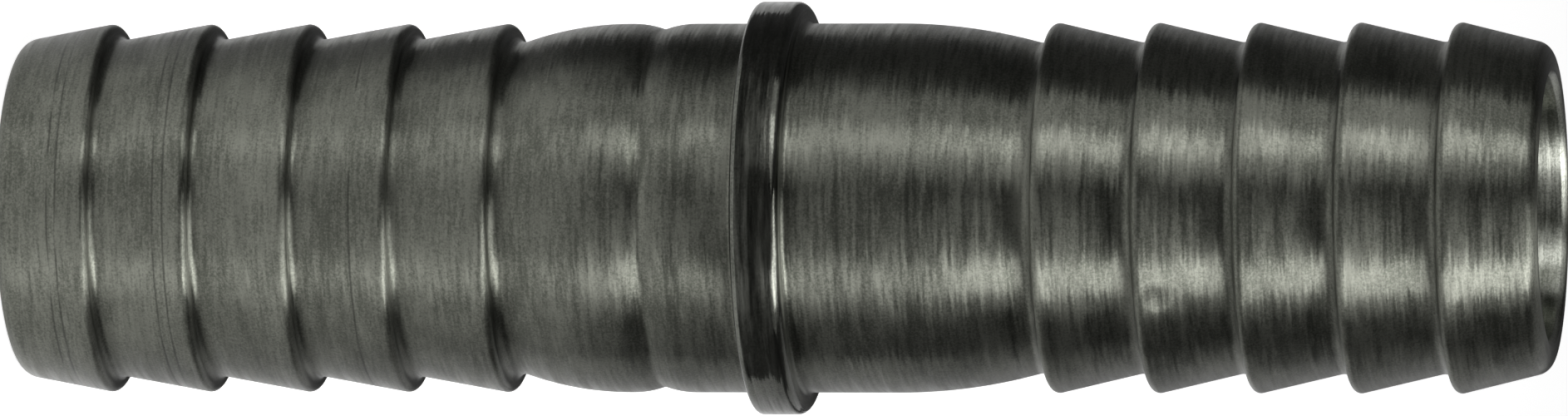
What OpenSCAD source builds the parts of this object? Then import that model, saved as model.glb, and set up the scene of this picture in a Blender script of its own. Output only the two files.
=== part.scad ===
// Hose splicer turned from one bar: a barbed shank on each side of a stop collar, and a bore right through.
// It stands on its grooved shank, with its axis along +Z and the origin at the centre of that end's face.

/* [Bore] */
// Diameter of the bore
bore_d = 15; // [10:0.1:16]
// Chamfer at each mouth of the bore
bore_chamfer = 0.3; // [0.1:0.05:0.5]

/* [Collar] */
// Outer diameter of the stop collar
collar_d = 23.5; // [22.8:0.1:28]
// Width of the collar along the axis
collar_w = 2.8; // [2:0.1:6]
// Rounding of the collar's outer edge on the grooved shank's side
grooved_side_round = 0.35; // [0.1:0.05:0.7]
// Rounding of the collar's outer edge on the plain shank's side
plain_side_round = 0.55; // [0.1:0.05:0.7]
// Fillet in the corner between the collar and each neck
collar_fillet = 0.3; // [0.1:0.05:0.5]

/* [Necks] */
// Diameter of the straight necks beside the collar
neck_d = 21; // [20.6:0.1:22]
// Length of each neck, from the collar's face to the first barb
neck_l = 14.1; // [12:0.1:20]
// Diameter that each neck curves in to at the first barb, before the fillet there
neck_foot_d = 18.4; // [17.8:0.1:19.4]
// Straight length of the plain neck, from the collar's face to where it curves in
plain_straight_l = 5.3; // [3:0.1:9]
// Straight length of the grooved neck, from the collar's face to where it curves in
grooved_straight_l = 7.4; // [7.2:0.1:9]

/* [Groove] */
// Distance from the collar's face to the middle of the groove
groove_offset = 5.4; // [3:0.1:5.6]
// Depth of the groove, before its bottom is rounded
groove_depth = 0.34; // [0.1:0.02:0.6]
// Length of the curved shoulder on each side of the groove
shoulder_l = 1.8; // [1:0.1:2]
// Radius in the bottom of the groove
groove_fillet = 0.5; // [0.1:0.05:1]

/* [Barbs] */
// Number of barbs on each shank
barb_count = 5; // [2:1:8]
// Distance from one barb's crest to the next
barb_pitch = 5.75; // [4:0.05:8]
// Diameter over the barbs' crests
barb_d = 21; // [20.4:0.1:22]
// Diameter at the foot of the plain shank's barbs, before the fillet
plain_root_d = 18.5; // [17.8:0.1:19.4]
// Diameter at the foot of the grooved shank's barbs, before the fillet
grooved_root_d = 19.1; // [17.8:0.1:19.4]
// Rounding of each crest
crest_round = 0.4; // [0.1:0.05:0.5]
// Fillet in the corner behind each barb
barb_fillet = 0.6; // [0.2:0.05:0.8]

/* [Ends] */
// Length of the end barb, from its crest to the end face
end_l = 5.5; // [4:0.1:9]
// Rounding of the outer edge of each end face
end_round = 1; // [0.2:0.05:1.1]

/* [Hidden] */
$fn = 144;
// Overlap that lets a cut run past the face it leaves
past = 1;
// How far a corner's sliver runs, as a share of the way from its circle's centre to the corner
corner_reach = 1.2;
// Most of a step, below its rounded crest, that the fillet at its foot may take up
fillet_share = 0.92;

neck_r = neck_d / 2;
barb_r = barb_d / 2;
// Centre of a crest's circle, as radius and distance from the barb's step
crest_centre = [barb_r - crest_round, crest_round];
shank_l = neck_l + (barb_count - 1) * barb_pitch + end_l;
total_l = 2 * shank_l + collar_w;

// Radius of the arc that leaves a straight side without a kink, and falls by drop over the length l
function arc_r(l, drop) = (l * l + drop * drop) / (2 * drop);

// Point at distance r from centre c, towards point p
function towards(c, p, r) = c + r * (p - c) / norm(p - c);

// Largest fillet, up to r, at the foot of a step of height drop, before which the surface leans in by angle
function fitted(r, drop, angle) = min(r, fillet_share * drop / (tan(angle) + 1 / cos(angle)));

// Direction at right angles to a surface that leans in by angle
function outward(angle) = [cos(angle), sin(angle)];

// Angle at which a taper leans in, from a crest's circle to the radius foot_r at the distance l from its step
function taper_angle(foot_r, l) =
    let (way = crest_centre - [foot_r, l])
    atan(-way.x / way.y) + asin(crest_round / norm(way));

// Sliver between corner p and the circle that touches its two sides at points a and b, run on past p
module corner_sliver(p, a, b, centre, r) {
    difference() {
        polygon([centre + corner_reach * (p - centre), a, centre, b]);
        translate(centre) circle(r);
    }
}

// Sliver left in the square corner at the foot of a step, on the far side of a surface that leans in by angle
module foot_sliver(fillet, angle) {
    centre = fillet * [tan(angle) + 1 / cos(angle), -1];
    corner_sliver([0, 0], [centre.x, 0], centre - fillet * outward(angle), centre, fillet);
}

// What is cut away to curve a neck in from its straight part, short of the fillet at the first barb
module neck_cut(straight_l) {
    foot_r = neck_foot_d / 2;
    curve_l = neck_l - straight_l;
    drop = neck_r - foot_r;
    big_r = arc_r(curve_l, drop);
    // As seen from the foot, which lies on the big arc, its centre and that of the fillet that touches it
    big_centre = [drop - big_r, -curve_l];
    fillet = fitted(barb_fillet, crest_centre.x - foot_r, asin(curve_l / big_r));
    centre = [big_centre.x + sqrt(pow(big_r + fillet, 2) - pow(curve_l - fillet, 2)), -fillet];
    touch = towards(big_centre, centre, big_r);
    difference() {
        translate([foot_r - past, straight_l]) square([drop + 2 * past, curve_l + past]);
        translate([neck_r, straight_l]) translate([-big_r, 0]) circle(big_r);
        translate([foot_r, neck_l]) corner_sliver([0, 0], [centre.x, 0], touch, centre, fillet);
    }
}

// What is cut away outside a barb's round crest and its taper, which falls to foot_r over the length l from its step
module taper_cut(foot_r, l) {
    angle = taper_angle(foot_r, l);
    foot = [foot_r, l] - crest_centre;
    corner = foot + l * [tan(angle), -1];
    outside = crest_round + past;
    translate(crest_centre) {
        polygon([corner, foot, [outside, foot.y], [outside, corner.y]]);
        corner_sliver(corner, [0, -crest_round], crest_round * outward(angle), [0, 0], crest_round);
    }
}

// What is cut away between the barbs, short of the fillet at each step
module barb_cuts(root_r) {
    angle = taper_angle(root_r, barb_pitch);
    for (i = [1 : barb_count - 1]) translate([0, neck_l + (i - 1) * barb_pitch]) difference() {
        taper_cut(root_r, barb_pitch);
        translate([root_r, barb_pitch]) foot_sliver(fitted(barb_fillet, crest_centre.x - root_r, angle), angle);
    }
}

// What is cut away outside the end barb's taper, and outside the rounding of the end face
module end_cut(root_r) {
    angle = taper_angle(root_r, end_l);
    centre = end_round * [tan(angle) - 1 / cos(angle), -1];
    translate([0, shank_l - end_l]) taper_cut(root_r, end_l);
    translate([root_r, shank_l])
        corner_sliver([0, 0], [centre.x, 0], centre + end_round * outward(angle), centre, end_round);
}

// What the groove takes off its neck: a notch between two curved shoulders, rounded in its bottom
module groove_cut() {
    big_r = arc_r(shoulder_l, groove_depth);
    // As seen from the notch's sharp foot, the centres of the shoulders' arcs and of the circle that touches both
    shoulders = [for (side = [-1, 1]) [groove_depth - big_r, side * shoulder_l]];
    bottom = [groove_depth - big_r + sqrt(pow(big_r + groove_fillet, 2) - shoulder_l * shoulder_l), 0];
    touches = [for (centre = shoulders) towards(centre, bottom, big_r)];
    translate([neck_r - groove_depth, groove_offset]) difference() {
        translate([-past, -shoulder_l]) square([groove_depth + 2 * past, 2 * shoulder_l]);
        for (centre = shoulders) translate([groove_depth, centre.y]) translate([-big_r, 0]) circle(big_r);
        corner_sliver([0, 0], touches[0], touches[1], bottom, groove_fillet);
    }
}

// Half outline of one shank, standing on the collar's face
module shank(straight_l, root_d) {
    difference() {
        square([neck_r, neck_l]);
        neck_cut(straight_l);
    }
    difference() {
        translate([0, neck_l]) square([barb_r, shank_l - neck_l]);
        barb_cuts(root_d / 2);
        end_cut(root_d / 2);
    }
}

// Half outline of the collar, with rounded outer edges and a foot that flares into it from each neck
module collar() {
    outer = [collar_d / 2, collar_w];
    foot = [neck_r + collar_fillet, collar_w + 2 * collar_fillet];
    rounds = [grooved_side_round, plain_side_round];
    difference() {
        square(outer);
        for (side = [0, 1]) {
            r = rounds[side];
            edge = [outer.x, side * outer.y];
            inwards = [0, (1 - 2 * side) * r];
            corner_sliver(edge, edge + inwards, edge - [r, 0], edge + inwards - [r, 0], r);
        }
    }
    translate([0, -collar_fillet]) difference() {
        square(foot);
        for (y = [0, foot.y]) translate([foot.x, y]) circle(collar_fillet);
    }
}

// Half outline of what the bore takes out: a straight passage with a chamfer at each mouth
module bore() {
    bore_r = bore_d / 2;
    square([bore_r, total_l]);
    for (side = [0, 1]) {
        mouth = [bore_r, side * total_l];
        inwards = [0, (1 - 2 * side) * bore_chamfer];
        polygon([mouth, mouth + [bore_chamfer, 0], mouth + inwards]);
    }
}

// Whole splicer: grooved shank below the collar, plain shank above it
module splicer() {
    color("dimgray")
    rotate_extrude()
    difference() {
        union() {
            translate([0, shank_l]) mirror([0, 1]) difference() {
                shank(grooved_straight_l, grooved_root_d);
                groove_cut();
            }
            translate([0, shank_l]) collar();
            translate([0, shank_l + collar_w]) shank(plain_straight_l, plain_root_d);
        }
        bore();
    }
}

splicer();
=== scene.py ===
"""Turned steel hose splicer, dressed for rendering: a barbed shank on each side of a stop collar, and a bore.

Sizes are in metres, in the CAD part's frame: it stands on its grooved shank, and its axis is +Z."""

import math

import bpy
import numpy as np
from mathutils import Matrix, Vector


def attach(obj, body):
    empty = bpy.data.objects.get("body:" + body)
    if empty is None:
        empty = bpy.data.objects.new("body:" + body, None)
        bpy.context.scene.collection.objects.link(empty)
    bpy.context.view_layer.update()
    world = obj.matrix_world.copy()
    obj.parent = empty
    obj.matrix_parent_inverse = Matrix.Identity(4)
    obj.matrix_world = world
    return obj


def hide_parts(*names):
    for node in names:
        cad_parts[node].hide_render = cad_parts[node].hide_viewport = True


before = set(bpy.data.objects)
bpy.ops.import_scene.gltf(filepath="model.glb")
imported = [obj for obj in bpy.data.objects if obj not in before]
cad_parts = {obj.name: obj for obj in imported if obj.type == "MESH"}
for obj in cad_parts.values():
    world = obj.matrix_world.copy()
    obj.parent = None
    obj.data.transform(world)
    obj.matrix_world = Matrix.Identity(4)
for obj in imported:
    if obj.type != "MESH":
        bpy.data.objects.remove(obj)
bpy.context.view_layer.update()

MM = 0.001
MID = Vector((0, 0, 44 * MM))

# Sizes of the part, the same as in its source. The grooved shank's fillets are smaller, because its steps are lower
BORE_R = 7.5 * MM
BORE_CHAMFER = 0.3 * MM
COLLAR_R = 11.75 * MM
COLLAR_W = 2.8 * MM
GROOVED_SIDE_ROUND = 0.35 * MM
PLAIN_SIDE_ROUND = 0.55 * MM
COLLAR_FILLET = 0.3 * MM
NECK_R = 10.5 * MM
NECK_L = 14.1 * MM
NECK_FOOT_R = 9.2 * MM
PLAIN_STRAIGHT_L = 5.3 * MM
GROOVED_STRAIGHT_L = 7.4 * MM
GROOVE_OFFSET = 5.4 * MM
GROOVE_DEPTH = 0.34 * MM
SHOULDER_L = 1.8 * MM
GROOVE_FILLET = 0.5 * MM
BARB_COUNT = 5
BARB_PITCH = 5.75 * MM
BARB_R = 10.5 * MM
PLAIN_ROOT_R = 9.25 * MM
GROOVED_ROOT_R = 9.55 * MM
CREST_ROUND = 0.4 * MM
NECK_FILLET = 0.6 * MM
PLAIN_FILLET = 0.6 * MM
GROOVED_FILLET = 0.42 * MM
END_L = 5.5 * MM
END_ROUND = 1 * MM
SHANK_L = NECK_L + (BARB_COUNT - 1) * BARB_PITCH + END_L
TOTAL_L = 2 * SHANK_L + COLLAR_W

# Knock beside a crest: its middle, its half sizes along the axis and round it, and its depth
KNOCK_Z = 66.5 * MM
KNOCK_ANGLE = math.radians(300)
KNOCK_ALONG = 0.6 * MM
KNOCK_ROUND = 0.8 * MM
KNOCK_DEPTH = 0.07 * MM

# Tool lines near the grooved shank's end, as distances along the axis
TOOL_LINES = [3.2 * MM, 3.7 * MM, 9.3 * MM, 9.9 * MM, 20.6 * MM]

# Points round the axis, and the angle past which an edge of the outline stays sharp
SIDES = 216
SHARP = math.radians(32)


# Outline


def line(start, end, steps, crowded=1):
    """Points along the straight line from start to end, without end. Above 1, crowded draws them towards start."""
    share = (np.arange(steps)[:, None] / steps) ** crowded
    return np.array(start) + share * (np.array(end) - np.array(start))


def arc(centre, start, end, steps):
    """Points evenly along the shorter arc round centre from start to end, without end:
    centre plus radius times the cosine and sine of an angle that runs from start's to end's."""
    centre = np.array(centre)
    first = np.array(start) - centre
    last = np.array(end) - centre
    begin = math.atan2(first[1], first[0])
    turn = (math.atan2(last[1], last[0]) - begin + math.pi) % (2 * math.pi) - math.pi
    angle = begin + turn * np.arange(steps) / steps
    return centre + np.linalg.norm(first) * np.stack([np.cos(angle), np.sin(angle)], 1)


def towards(centre, point, distance):
    """Point at that distance from centre, on the way to point."""
    way = np.array(point) - np.array(centre)
    return np.array(centre) + distance * way / np.linalg.norm(way)


def rounding(before, corner, after, radius):
    """Touching points and centre of the circle that rounds the corner between two straight sides."""
    corner = np.array(corner)
    back = (np.array(before) - corner) / np.linalg.norm(np.array(before) - corner)
    ahead = (np.array(after) - corner) / np.linalg.norm(np.array(after) - corner)
    half = math.acos(np.clip(back @ ahead, -1, 1)) / 2
    reach = radius / math.tan(half)
    centre = corner + (back + ahead) / np.linalg.norm(back + ahead) * radius / math.sin(half)
    return corner + back * reach, corner + ahead * reach, centre


def polyline(corners, steps=3):
    """Outline through corners given as (r, y, radius of the rounding there), from the first to the last."""
    stretches = []
    place = np.array(corners[0][:2])
    for before, corner, after in zip(corners, corners[1:], corners[2:]):
        if corner[2]:
            start, end, centre = rounding(before[:2], corner[:2], after[:2], corner[2])
            stretches.append(line(place, start, 2))
            stretches.append(arc(centre, start, end, steps))
        else:
            start = end = np.array(corner[:2])
            stretches.append(line(place, start, 2))
        place = end
    stretches.append(line(place, corners[-1][:2], 2))
    return np.concatenate(stretches)


def foot_fillet(before, angle, step_y, radius):
    """Fillet between a taper that leans in by angle, and goes through the point before, and the step at step_y.
    Its centre lies radius outside the taper's line, and radius short of the step.
    Returns its touching points on the taper and on the step, and its centre."""
    onwards = np.array((-math.sin(angle), math.cos(angle)))
    outwards = np.array((math.cos(angle), math.sin(angle)))
    base = np.array(before) + radius * outwards
    centre = base + onwards * (step_y - radius - base[1]) / onwards[1]
    return centre - radius * outwards, np.array((centre[0], step_y)), centre


def taper_angle(foot_r, length):
    """Angle at which a taper leans in, from a crest's circle to the radius foot_r at that length from its step:
    the angle of the line from the circle's centre, and the angle that the circle's radius adds."""
    inwards = BARB_R - CREST_ROUND - foot_r
    onwards = length - CREST_ROUND
    return math.atan(inwards / onwards) + math.asin(CREST_ROUND / math.hypot(inwards, onwards))


def grooved_neck(place):
    """Outline of the neck from place through its groove: an arc, the round bottom and an arc."""
    big_r = (SHOULDER_L ** 2 + GROOVE_DEPTH ** 2) / (2 * GROOVE_DEPTH)
    big_x = NECK_R - big_r
    bottom = (big_x + math.sqrt((big_r + GROOVE_FILLET) ** 2 - SHOULDER_L ** 2), GROOVE_OFFSET)
    near = (big_x, GROOVE_OFFSET - SHOULDER_L)
    far = (big_x, GROOVE_OFFSET + SHOULDER_L)
    near_touch = towards(near, bottom, big_r)
    far_touch = towards(far, bottom, big_r)
    return [
        line(place, (NECK_R, near[1]), 3),
        arc(near, (NECK_R, near[1]), near_touch, 6),
        arc(bottom, near_touch, far_touch, 5),
        arc(far, far_touch, (NECK_R, far[1]), 6),
        line((NECK_R, far[1]), (NECK_R, GROOVED_STRAIGHT_L), 3),
    ]


def shank(straight_l, root_r, fillet, grooved):
    """Outline of one shank, as radius and distance from the collar's face, from its corner there to its end face.
    The neck is straight, then an arc that leaves it without a kink. Each barb is a step with a rounded crest,
    a taper and a fillet at the foot of the next step. The last taper ends in the rounded edge of the end face."""
    beside_collar = (NECK_R + COLLAR_FILLET, 0)
    place = (NECK_R, COLLAR_FILLET)
    stretches = [arc((beside_collar[0], place[1]), beside_collar, place, 5)]
    stretches += grooved_neck(place) if grooved else [line(place, (NECK_R, straight_l), 3)]

    # The arc of the neck, and the fillet that touches it and the first step
    curve_l = NECK_L - straight_l
    drop = NECK_R - NECK_FOOT_R
    big_r = (curve_l ** 2 + drop ** 2) / (2 * drop)
    big_centre = (NECK_R - big_r, straight_l)
    reach = math.sqrt((big_r + NECK_FILLET) ** 2 - (curve_l - NECK_FILLET) ** 2)
    centre = (big_centre[0] + reach, NECK_L - NECK_FILLET)
    touch = towards(big_centre, centre, big_r)
    place = (centre[0], NECK_L)
    stretches.append(arc(big_centre, (NECK_R, straight_l), touch, 14))
    stretches.append(arc(centre, touch, place, 9))

    # Each crest's circle touches its step and its taper, and its top is BARB_R from the axis
    for barb in range(BARB_COUNT):
        step_y = NECK_L + barb * BARB_PITCH
        at_end = barb == BARB_COUNT - 1
        length = END_L if at_end else BARB_PITCH
        angle = taper_angle(root_r, length)
        begin = (BARB_R - CREST_ROUND, step_y)
        crest = np.array((BARB_R - CREST_ROUND, step_y + CREST_ROUND))
        leave = crest + CREST_ROUND * np.array((math.cos(angle), math.sin(angle)))
        stretches.append(line(place, begin, 2))
        stretches.append(arc(crest, begin, leave, 8))
        if at_end:
            start, end, centre = rounding(leave, (root_r, SHANK_L), (BORE_R, SHANK_L), END_ROUND)
        else:
            start, end, centre = foot_fillet(leave, angle, step_y + BARB_PITCH, fillet)
        stretches.append(line(leave, start, 11, 1.7))
        stretches.append(arc(centre, start, end, 10))
        place = end
    stretches.append(line(place, (BORE_R + 2 * BORE_CHAMFER, SHANK_L), 4))
    return np.concatenate(stretches)


def mouth():
    """Outline of a bore's mouth, as radius and distance from the end face: the face's last stretch,
    then the chamfer with its two edges slightly broken, and the start of the bore."""
    return polyline([
        (BORE_R + 2 * BORE_CHAMFER, 0, 0),
        (BORE_R + BORE_CHAMFER, 0, 0.05 * MM),
        (BORE_R, BORE_CHAMFER, 0.1 * MM),
        (BORE_R, 4 * BORE_CHAMFER, 0),
    ])


def splicer_outline():
    """Whole outline as points (r, z), once round the metal: up the outside from the grooved shank's end face
    to the plain shank's, and back down the bore."""
    grooved = shank(GROOVED_STRAIGHT_L, GROOVED_ROOT_R, GROOVED_FILLET, True)
    plain = shank(PLAIN_STRAIGHT_L, PLAIN_ROOT_R, PLAIN_FILLET, False)
    edge = mouth()
    rim = polyline([
        (NECK_R + COLLAR_FILLET, 0, 0),
        (COLLAR_R, 0, GROOVED_SIDE_ROUND),
        (COLLAR_R, COLLAR_W, PLAIN_SIDE_ROUND),
        (NECK_R + COLLAR_FILLET, COLLAR_W, 0),
    ], 6)
    down = np.array((1, -1))
    points = np.concatenate([
        edge[::-1],
        (grooved * down + (0, SHANK_L))[::-1],
        rim + (0, SHANK_L),
        plain + (0, SHANK_L + COLLAR_W),
        edge * down + (0, TOTAL_L),
        line((BORE_R, TOTAL_L - 4 * BORE_CHAMFER), (BORE_R, 4 * BORE_CHAMFER), 12),
    ])
    gaps = np.linalg.norm(points - np.roll(points, 1, 0), axis=1)
    return points[gaps > 0.001 * MM]


# Surface


def link(name, mesh):
    """Adds an object that shows the mesh."""
    thing = bpy.data.objects.new(name, mesh)
    bpy.context.scene.collection.objects.link(thing)
    return thing


def turned(name, outline, dent):
    """Closed surface of revolution. The point at outline step i and turn j is (r cos a, r sin a, z),
    where (r, z) is the outline's point i and a is j even steps round the axis. dent gives how far
    a point on the outside at (a, z) lies inwards. Each point also carries its distance along the outline,
    which the turning marks follow."""
    radius = outline[:, 0:1]
    height = outline[:, 1:2]
    angle = np.arange(SIDES)[None, :] * 2 * math.pi / SIDES
    outside = radius > BORE_R + 2 * BORE_CHAMFER
    sunk = radius - np.where(outside, dent(angle, height), 0)
    points = np.stack([sunk * np.cos(angle), sunk * np.sin(angle), height + 0 * angle], -1).reshape(-1, 3)
    ring, turn = np.meshgrid(np.arange(len(outline)), np.arange(SIDES), indexing="ij")
    ring_on = (ring + 1) % len(outline)
    turn_on = (turn + 1) % SIDES
    here = ring * SIDES
    onwards = ring_on * SIDES
    corners = [here + turn, here + turn_on, onwards + turn_on, onwards + turn]
    faces = np.stack(corners, -1).reshape(-1, 4)
    mesh = bpy.data.meshes.new(name)
    mesh.from_pydata(points, [], faces.tolist())
    mesh.shade_smooth()
    mesh.set_sharp_from_angle(angle=SHARP)
    lengths = np.linalg.norm(np.diff(outline, axis=0), axis=1)
    along = np.concatenate([[0], np.cumsum(lengths)])
    mesh.attributes.new("along", "FLOAT", "POINT").data.foreach_set("value", np.repeat(along, SIDES))
    return link(name, mesh)


def knock(angle, height):
    """Depth of the shallow knock beside the crest of the plain shank's second barb: its full depth times e to
    the power of minus d to the fourth, where d is the distance from its middle, in its half sizes."""
    along = (height - KNOCK_Z) / KNOCK_ALONG
    round_axis = (angle - KNOCK_ANGLE) * BARB_R / KNOCK_ROUND
    return KNOCK_DEPTH * np.exp(-(along ** 2 + round_axis ** 2) ** 2)


piece = turned("splicer_turned", splicer_outline(), knock)


# Materials


class Value:
    """One output of a node. Each operation on it adds a Math node."""

    def __init__(self, nodes, socket):
        self.nodes = nodes
        self.socket = socket

    def math(self, operation, a, b):
        return self.nodes.add("Math", {"operation": operation}, {0: a, 1: b})

    def __add__(self, other):
        return self.math("ADD", self, other)

    def __radd__(self, other):
        return self.math("ADD", other, self)

    def __sub__(self, other):
        return self.math("SUBTRACT", self, other)

    def __mul__(self, other):
        return self.math("MULTIPLY", self, other)

    def __rmul__(self, other):
        return self.math("MULTIPLY", other, self)

    def size(self):
        """The value without its sign."""
        return self.nodes.add("Math", {"operation": "ABSOLUTE"}, {0: self})

    def ramp(self, low, high, first=0.0, last=1.0):
        """Goes smoothly from first to last while the value goes from low to high."""
        limits = {"Value": self, "From Min": low, "From Max": high, "To Min": first, "To Max": last}
        return self.nodes.add("MapRange", {"interpolation_type": "SMOOTHSTEP"}, limits)


class Nodes:
    """The nodes of one material or world."""

    def __init__(self, owner):
        owner.use_nodes = True
        self.tree = owner.node_tree
        self.tree.nodes.clear()

    def add(self, kind, settings=None, inputs=None, output=0):
        """Adds a node of that type, with its settings set first and then the values or links of its sockets."""
        node = self.tree.nodes.new("ShaderNode" + kind)
        for name, setting in (settings or {}).items():
            setattr(node, name, setting)
        for name, value in (inputs or {}).items():
            if isinstance(value, Value):
                self.tree.links.new(value.socket, node.inputs[name])
            else:
                node.inputs[name].default_value = value
        return Value(self, node.outputs[output] if node.outputs else None)

    def place(self):
        """The point in the object's own coordinates."""
        return self.add("TexCoord", output="Object")

    def part(self, vector, axis):
        """One coordinate of a vector."""
        return self.add("SeparateXYZ", inputs={0: vector}, output=axis)

    def vector(self, operation, a, b=(0, 0, 0)):
        """Vector Math on one vector or two."""
        return self.add("VectorMath", {"operation": operation}, {0: a, 1: b})

    def mixed(self, share, a, b):
        """Colour that goes from a to b as share goes from 0 to 1."""
        return self.add("Mix", {"data_type": "RGBA"}, {"Factor": share, "A": a, "B": b}, 2)

    def noise(self, vector, scale, detail, roughness):
        """Noise between 0 and 1."""
        inputs = {"Vector": vector, "Scale": scale, "Detail": detail, "Roughness": roughness}
        return self.add("TexNoise", inputs=inputs)


def turned_steel():
    """Dark turned steel: rings left by the tool, which follow the outline, over a fine speckled grain."""
    material = bpy.data.materials.new("turned_steel")
    nodes = Nodes(material)
    place = nodes.place()
    x = nodes.part(place, "X")
    y = nodes.part(place, "Y")
    z = nodes.part(place, "Z")
    along = nodes.add("Attribute", {"attribute_name": "along"}, output="Fac")

    def rings(round_scale, along_scale, detail):
        """Noise stretched round the axis. The scales are in features per metre."""
        across = {0: x * round_scale, 1: y * round_scale, 2: along * along_scale}
        return nodes.noise(nodes.add("CombineXYZ", inputs=across), 1.0, detail, 0.55)

    fine_rings = rings(150.0, 7000.0, 2.0)
    broad_rings = rings(60.0, 2200.0, 3.0)
    streaks = rings(450.0, 4200.0, 2.0)
    grain = nodes.noise(place, 7500.0, 2.0, 0.7)
    clouds = nodes.noise(place, 260.0, 3.0, 0.5)

    shade = 0.25 * clouds + 0.35 * grain + 0.15 * broad_rings + 0.25 * streaks
    colour = nodes.mixed(shade.ramp(0.38, 0.62), (0.058, 0.061, 0.051, 1), (0.153, 0.157, 0.135, 1))
    roughness = 0.37 + 0.12 * (broad_rings.ramp(0.3, 0.7) - 0.5) + 0.14 * (streaks - 0.5)
    height = 0.5 * broad_rings + 0.3 * fine_rings + 0.6 * streaks + 0.2 * grain

    # Where the tool rubbed, it left dark lines, which come and go round the axis
    rubbed = rings(300.0, 3000.0, 1.0).ramp(0.35, 0.5)
    for centre in TOOL_LINES:
        mark = (z - centre).size().ramp(0.03 * MM, 0.09 * MM, 1.0, 0.0)
        colour = nodes.mixed(0.55 * mark * rubbed, colour, (0.02, 0.02, 0.018, 1))

    # The tool chattered: each ring leans a little this way and that round the axis, which breaks up the highlights
    chatter = 20 * (rings(260.0, 5200.0, 2.0) - 0.5)
    round_axis = nodes.add("CombineXYZ", inputs={0: -1 * y * chatter, 1: x * chatter, 2: 0.0})
    own_to_world = {"vector_type": "VECTOR", "convert_from": "OBJECT", "convert_to": "WORLD"}
    lean = nodes.add("VectorTransform", own_to_world, {0: round_axis})
    straight = nodes.add("NewGeometry", output="Normal")
    leaning = nodes.vector("NORMALIZE", nodes.vector("ADD", straight, lean))
    pressed = {"Strength": 1.0, "Distance": 0.014 * MM, "Height": height, "Normal": leaning}

    # The collar's rim is smoother than what the tool has cut, and its colour is darker there: painted shade
    flat = nodes.vector("MULTIPLY", place, (1, 1, 0))
    from_axis = nodes.add("VectorMath", {"operation": "LENGTH"}, {0: flat}, "Value")
    rim = from_axis.ramp(11.2 * MM, 11.5 * MM)
    # Painted shade: the rim's colour is darkened
    colour = nodes.mixed(rim, colour, nodes.vector("MULTIPLY", colour, (0.72, 0.72, 0.74)))
    roughness = roughness - 0.2 * rim

    # The bore's colour is made three times lighter: painted light, standing in for the lamps' reflection in its
    # wall
    bore_painted_light = from_axis.ramp(7.6 * MM, 7.85 * MM, 1.0, 0.0)
    colour = nodes.mixed(bore_painted_light, colour, nodes.vector("MULTIPLY", colour, (3.0, 3.0, 3.1)))
    metal = nodes.add("BsdfPrincipled", inputs={
        "Base Color": colour,
        "Metallic": 1.0,
        "Roughness": roughness,
        "Anisotropic": 0.95,
        "Anisotropic Rotation": 0.25,
        "Normal": nodes.add("Bump", inputs=pressed),
    })
    nodes.add("OutputMaterial", inputs={"Surface": metal})
    return material


def pale_floor():
    """Pale floor with a soft shadow. The camera and the metal see part of its white as a glow of its own.
    What the metal mirrors of that glow is dimmer behind the object, as if the studio were darker there."""
    material = bpy.data.materials.new("pale_floor")
    nodes = Nodes(material)
    seen = nodes.add("LightPath", output="Is Camera Ray")
    mirrored = nodes.add("LightPath", output="Is Glossy Ray")
    passed = nodes.add("LightPath", output="Is Transmission Ray")
    behind = nodes.part(nodes.place(), "Y").ramp(-0.02, 0.03)
    white = nodes.mixed(behind * mirrored, (1, 1, 1, 1), (0.3, 0.3, 0.3, 1))
    glow = nodes.add("Emission", inputs={"Color": white, "Strength": (seen + mirrored + passed) * 0.82})
    paper = nodes.add("BsdfDiffuse", inputs={"Color": (0.55, 0.55, 0.55, 1)})
    nodes.add("OutputMaterial", inputs={"Surface": nodes.add("AddShader", inputs={0: paper, 1: glow})})
    return material


def dark_paper():
    """Dull, nearly black card."""
    material = bpy.data.materials.new("dark_card")
    nodes = Nodes(material)
    paper = nodes.add("BsdfDiffuse", inputs={"Color": (0.09, 0.09, 0.09, 1)})
    nodes.add("OutputMaterial", inputs={"Surface": paper})
    return material


piece.data.materials.append(turned_steel())
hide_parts("splicer")
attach(piece, "root")


# Studio


LAMP_DISTANCE = 0.7

# The card's first and last azimuth, its points along each edge, and where its upper edge lies
CARD_AZIMUTHS = (-136, 108)
CARD_POINTS = 42
CARD_REACH = 190 * MM
CARD_TOP = 48 * MM

# Half the floor's side
FLOOR_REACH = 6


def direction(azimuth, elevation):
    """Unit vector at that azimuth from -Y, positive towards +X, and that elevation, both in degrees."""
    a = math.radians(azimuth)
    e = math.radians(elevation)
    return Vector((math.sin(a) * math.cos(e), -math.cos(a) * math.cos(e), math.sin(e)))


def softbox(name, azimuths, elevations, brightness):
    """Rectangular lamp that covers those azimuths and elevations, in degrees, as the object's middle sees it.
    Its power is four times its area for each unit of brightness."""
    width = 2 * LAMP_DISTANCE * math.tan(math.radians(azimuths[1] - azimuths[0]) / 2)
    height = 2 * LAMP_DISTANCE * math.tan(math.radians(elevations[1] - elevations[0]) / 2)
    lamp = bpy.data.lights.new(name, "AREA")
    lamp.shape = "RECTANGLE"
    lamp.size = width
    lamp.size_y = height
    lamp.energy = 4 * brightness * width * height
    box = link(name, lamp)
    way = direction(sum(azimuths) / 2, sum(elevations) / 2)
    turn = way.to_track_quat("Z", "Y").to_matrix().to_4x4()
    box.matrix_world = Matrix.Translation(MID + LAMP_DISTANCE * way) @ turn
    box.visible_camera = False


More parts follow.
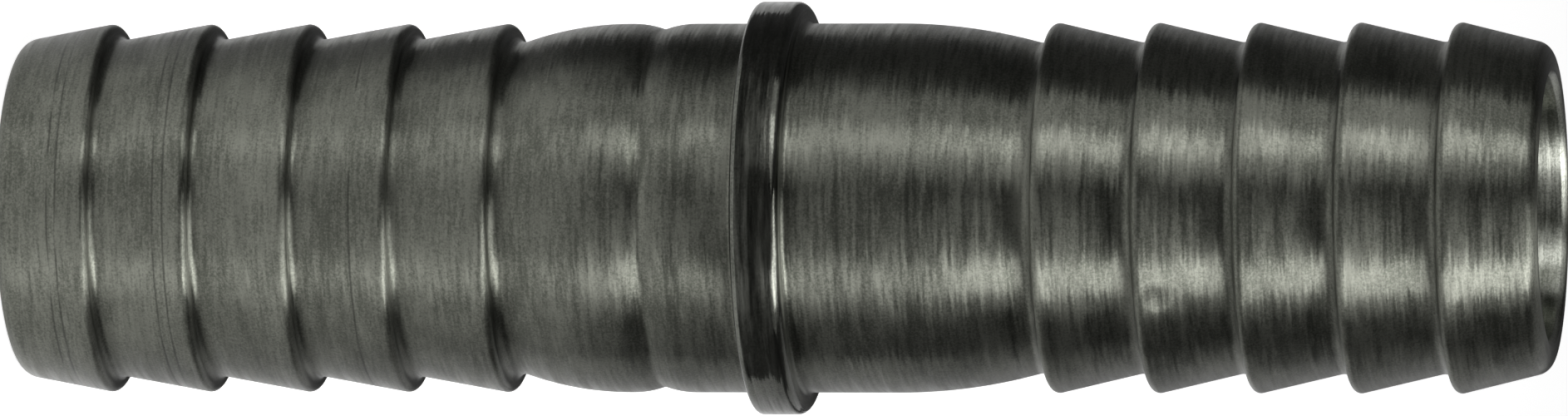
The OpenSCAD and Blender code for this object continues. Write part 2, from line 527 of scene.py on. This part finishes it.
softbox("lamp_warm_side", azimuths=(33, 74), elevations=(4, 50), brightness=0.55)
softbox("lamp_warm_core", azimuths=(42, 62), elevations=(24, 50), brightness=9.5)
softbox("lamp_warm_high", azimuths=(36, 58), elevations=(54, 78), brightness=7.0)
softbox("lamp_cool_side", azimuths=(-78, -22), elevations=(0, 46), brightness=1.1)
softbox("lamp_cool_core", azimuths=(-52, -36), elevations=(8, 44), brightness=3.5)
softbox("lamp_near_camera", azimuths=(0, 14), elevations=(60, 76), brightness=3.5)
softbox("lamp_back", azimuths=(125, 165), elevations=(5, 60), brightness=0.4)


def dark_card():
    """Card bent round the front of the object, which only the metal sees. It slopes up from just above the floor
    to its upper edge, and its lower edge comes in closer at the end towards -X."""
    around = np.linspace(*CARD_AZIMUTHS, CARD_POINTS)
    outwards = np.array([direction(azimuth, 0) for azimuth in around])
    foot_reach = np.interp(around, [-105, -85, 90, 108], [60, 110, 110, 130])[:, None] * MM
    lower = outwards * foot_reach + (0, 0, 1 * MM)
    upper = outwards * CARD_REACH + (0, 0, CARD_TOP)
    faces = [(i, i + 1, i + 1 + CARD_POINTS, i + CARD_POINTS) for i in range(CARD_POINTS - 1)]
    mesh = bpy.data.meshes.new("dark_card")
    mesh.from_pydata(np.concatenate([lower, upper]), [], faces)
    mesh.materials.append(dark_paper())
    card = link("dark_card", mesh)
    card.visible_camera = False
    card.visible_shadow = False
    card.visible_diffuse = False
    return card


def flat_floor():
    """Square floor under the object."""
    mesh = bpy.data.meshes.new("floor")
    corners = [(x * FLOOR_REACH, y * FLOOR_REACH, 0) for x, y in ((-1, -1), (1, -1), (1, 1), (-1, 1))]
    mesh.from_pydata(corners, [], [(0, 1, 2, 3)])
    mesh.materials.append(pale_floor())
    return link("floor", mesh)


dark_card()
flat_floor()

world = bpy.data.worlds.new("studio")
bpy.context.scene.world = world
surroundings = Nodes(world)
dim = surroundings.add("Background", inputs={"Color": (0.08, 0.08, 0.08, 1), "Strength": 1.0})
surroundings.add("OutputWorld", inputs={"Surface": dim})


# Camera, which looks at the object's middle and is turned on its side, so that +Z points to the right


# Angle at which it looks down at the object, its distance, and the width that it takes in there
TILT = math.radians(8.8)
DISTANCE = 1.0
VIEW_W = 89.3 * MM
SENSOR_W = 36

camera_data = bpy.data.cameras.new("camera")
camera_data.sensor_width = SENSOR_W
camera_data.lens = SENSOR_W * DISTANCE / VIEW_W
camera_data.clip_start = 0.01
camera_data.clip_end = 20
camera = link("camera", camera_data)
right = Vector((0, math.sin(TILT), math.cos(TILT)))
above = Vector((-1, 0, 0))
back = right.cross(above)
turn = Matrix((right, above, back)).transposed().to_4x4()
camera.matrix_world = Matrix.Translation(MID + DISTANCE * back) @ turn
bpy.context.scene.camera = camera
bpy.context.scene.view_settings.view_transform = "Standard"
